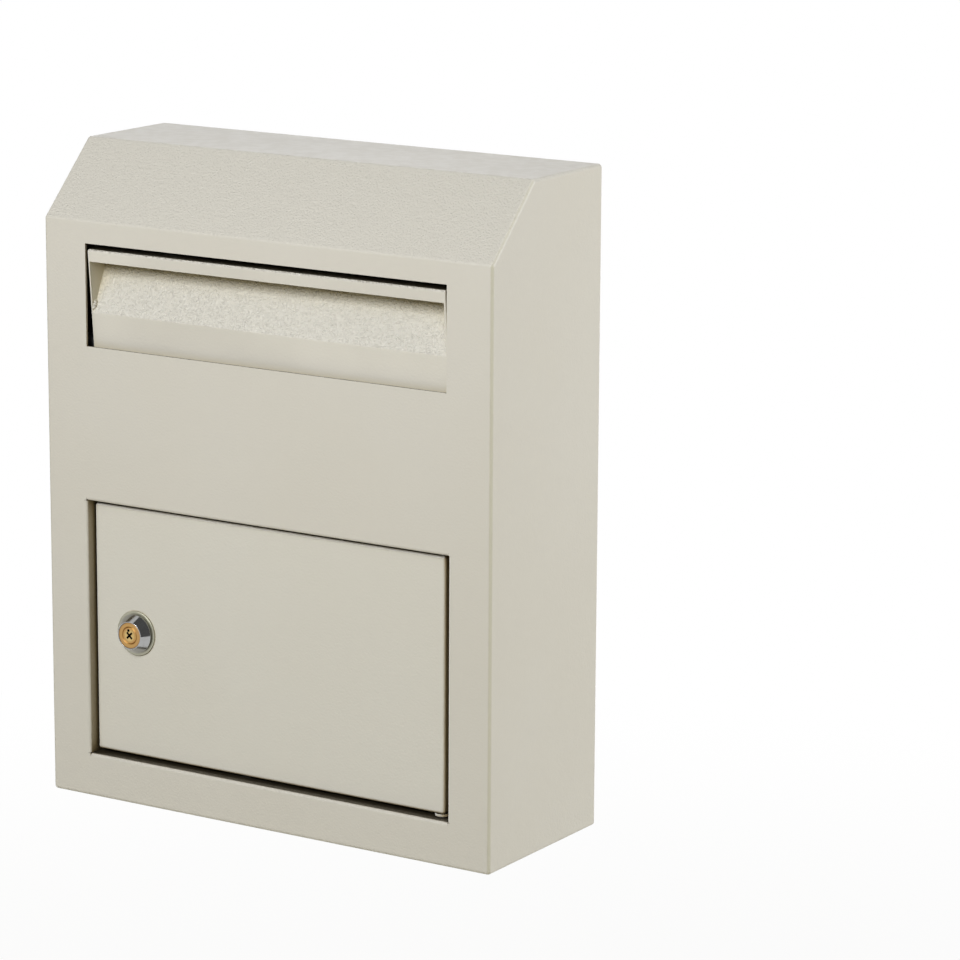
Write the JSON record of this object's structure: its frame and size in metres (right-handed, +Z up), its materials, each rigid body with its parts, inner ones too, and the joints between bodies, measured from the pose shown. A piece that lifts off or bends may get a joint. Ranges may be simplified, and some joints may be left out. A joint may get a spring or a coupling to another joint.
{
  "type": "wall mounted post box",
  "caption": "Wall mounted sheet steel post box with a sloped top, a tilting deposit hopper with a finger scoop, and a recessed side-hinged door with a cam lock.",
  "frame": {"origin": "middle of the four wall holes, on the face that lies against the wall", "axes": "+Z up the box, +Y into the wall, the door and the hopper face -Y, the door is hinged towards +X"},
  "size_m": [0.27, 0.1016, 0.34],
  "materials": {
    "powder_coat": "satin ivory powder coat with fine orange peel",
    "chrome": "polished chrome plate",
    "brass": "turned brass",
    "zinc_plated_steel": "bright zinc plate",
    "nylon": "black nylon"
  },
  "bodies": {
    "case": {"body_shell": "powder_coat", "back_panel": "powder_coat", "deflector_plate": "powder_coat", "door_stops": "powder_coat", "hinge_pin_top": "zinc_plated_steel", "hinge_pin_bottom": "zinc_plated_steel", "hinge_washer": "nylon", "hopper_bracket_left": "powder_coat", "hopper_bracket_right": "powder_coat", "hopper_pivot_left": "zinc_plated_steel", "hopper_pivot_right": "zinc_plated_steel", "hopper_clips": "zinc_plated_steel", "hopper_spacers": "nylon"},
    "door": {"door_panel": "powder_coat", "lock_housing": "chrome", "lock_washer": "zinc_plated_steel", "lock_nut": "zinc_plated_steel"},
    "lock_cylinder": {"lock_plug": "brass", "lock_stop_disc": "zinc_plated_steel", "lock_cam": "zinc_plated_steel", "cam_spring_washer": "zinc_plated_steel", "cam_nut": "zinc_plated_steel"},
    "hopper": {"hopper_front": "powder_coat", "hopper_tray": "powder_coat", "hopper_cheek_left": "powder_coat", "hopper_cheek_right": "powder_coat"}
  },
  "joints": [
    {"name": "door_swing", "type": "hinge", "parent": "case", "child": "door", "pos_m": [0.1025, -0.0914, -0.002], "axis": [0, 0, 1], "range_deg": [0, 110]},
    {"name": "hopper_tilt", "type": "hinge", "parent": "case", "child": "hopper", "pos_m": [0, -0.09012, 0.147], "axis": [1, 0, 0], "range_deg": [0, 45]},
    {"name": "key_turn", "type": "hinge", "parent": "door", "child": "lock_cylinder", "pos_m": [-0.083, -0.0951, -0.002], "axis": [0, -1, 0], "range_deg": [0, 90]}
  ]
}
